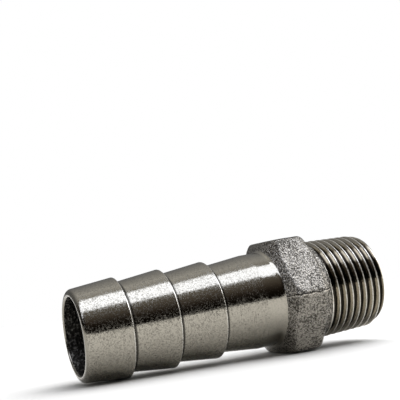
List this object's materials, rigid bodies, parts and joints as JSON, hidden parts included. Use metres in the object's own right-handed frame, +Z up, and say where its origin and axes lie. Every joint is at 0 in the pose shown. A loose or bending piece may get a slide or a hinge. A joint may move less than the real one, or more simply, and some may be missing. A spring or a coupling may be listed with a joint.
{
  "type": "hose barb tail",
  "caption": "One-piece stainless steel hose tail: barbed shank for a push-on hose, hexagon for a spanner, male taper pipe thread and a bore from end to end.",
  "frame": {"origin": "centre of the bounding box's base, on the surface that the lying tail rests on", "axes": "+Z up; the tail's axis lies in the XZ plane with the hose tip towards -X, low, and the pipe thread towards +X; it rests on its first barb and on one flat of the hexagon, so the axis climbs 3.20 degrees towards +X"},
  "size_m": [0.0532, 0.0216, 0.0193],
  "materials": {
    "steel": "investment cast stainless steel: satin turned shank, blasted as-cast hexagon, cut thread"
  },
  "bodies": {
    "root": {"hose_tail": "steel"}
  },
  "joints": []
}
